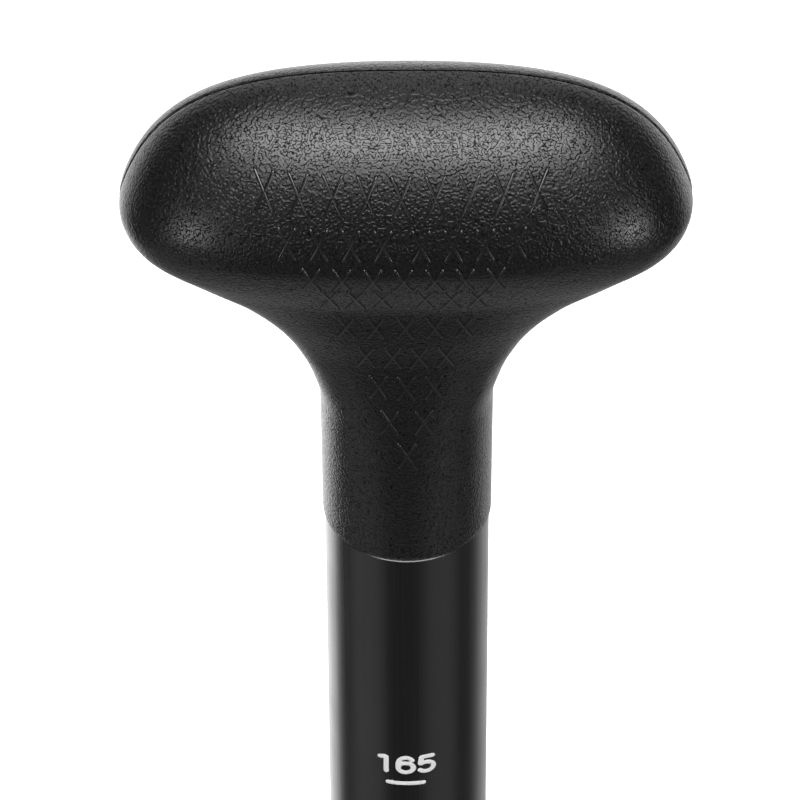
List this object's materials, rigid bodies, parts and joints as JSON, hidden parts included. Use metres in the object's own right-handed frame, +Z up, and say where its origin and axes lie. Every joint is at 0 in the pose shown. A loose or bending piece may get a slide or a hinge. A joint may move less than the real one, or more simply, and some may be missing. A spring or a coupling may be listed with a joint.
{
  "type": "stand-up paddleboard paddle",
  "caption": "Long adjustable paddle with a rounded palm grip, a sliding clamped shaft, a snap-button joint and a wide raked blade.",
  "frame": {"origin": "on the shaft's axis at the grip's neck, 20 mm above the end of the upper tube, where a hand or a rack's fork holds the paddle", "axes": "+Z up the shaft towards the grip's crown; the front, with the length scale and the snap button, faces -Y; the blade leans towards +Y; the clamp's ears are on +X"},
  "size_m": [0.2, 0.0859, 1.7],
  "materials": {
    "grip_plastic": "fine leather-like moulded grain, satin",
    "black_aluminium": "satin black anodised",
    "clamp_plastic": "fine spark-textured, satin",
    "inner_plastic": "plain moulded",
    "blade_plastic": "fine moulded texture, satin",
    "stainless_steel": "turned and tumbled",
    "rubber": "matt",
    "closed_cell_foam": "closed-cell foam"
  },
  "bodies": {
    "upper_section": {"grip_front_shell": "grip_plastic", "grip_back_shell": "grip_plastic", "grip_core": "inner_plastic", "upper_tube": "black_aluminium", "upper_end_bush": "inner_plastic", "bush_seal_ring": "rubber"},
    "lower_section": {"middle_tube": "black_aluminium", "clamp_collar": "clamp_plastic", "clamp_screw": "stainless_steel", "screw_washer": "stainless_steel", "cam_saddle": "clamp_plastic", "lever_barrel": "stainless_steel", "middle_ferrule": "clamp_plastic", "lower_ferrule": "clamp_plastic", "joint_spigot": "inner_plastic", "spigot_bung": "rubber", "spigot_rivet": "stainless_steel", "button_spring": "stainless_steel", "lower_tube": "black_aluminium", "float_plug": "closed_cell_foam", "blade": "blade_plastic", "blade_rivet": "stainless_steel"},
    "clamp_lever": {"clamp_lever": "clamp_plastic"},
    "snap_button": {"snap_button": "stainless_steel"}
  },
  "joints": [
    {"name": "telescope", "type": "slide", "parent": "upper_section", "child": "lower_section", "axis": [0, 0, -1], "range_m": [-0.05, 0.45]},
    {"name": "lever_swing", "type": "hinge", "parent": "lower_section", "child": "clamp_lever", "pos_m": [0.024, 0.0172, -0.1392], "axis": [0, 0, -1], "range_deg": [0, 150]},
    {"name": "button_press", "type": "slide", "parent": "lower_section", "child": "snap_button", "axis": [0, 1, 0], "range_m": [0, 0.0044], "stiffness_N_per_m": 1200, "springref_m": -0.0025, "deforming": ["button_spring"]}
  ]
}
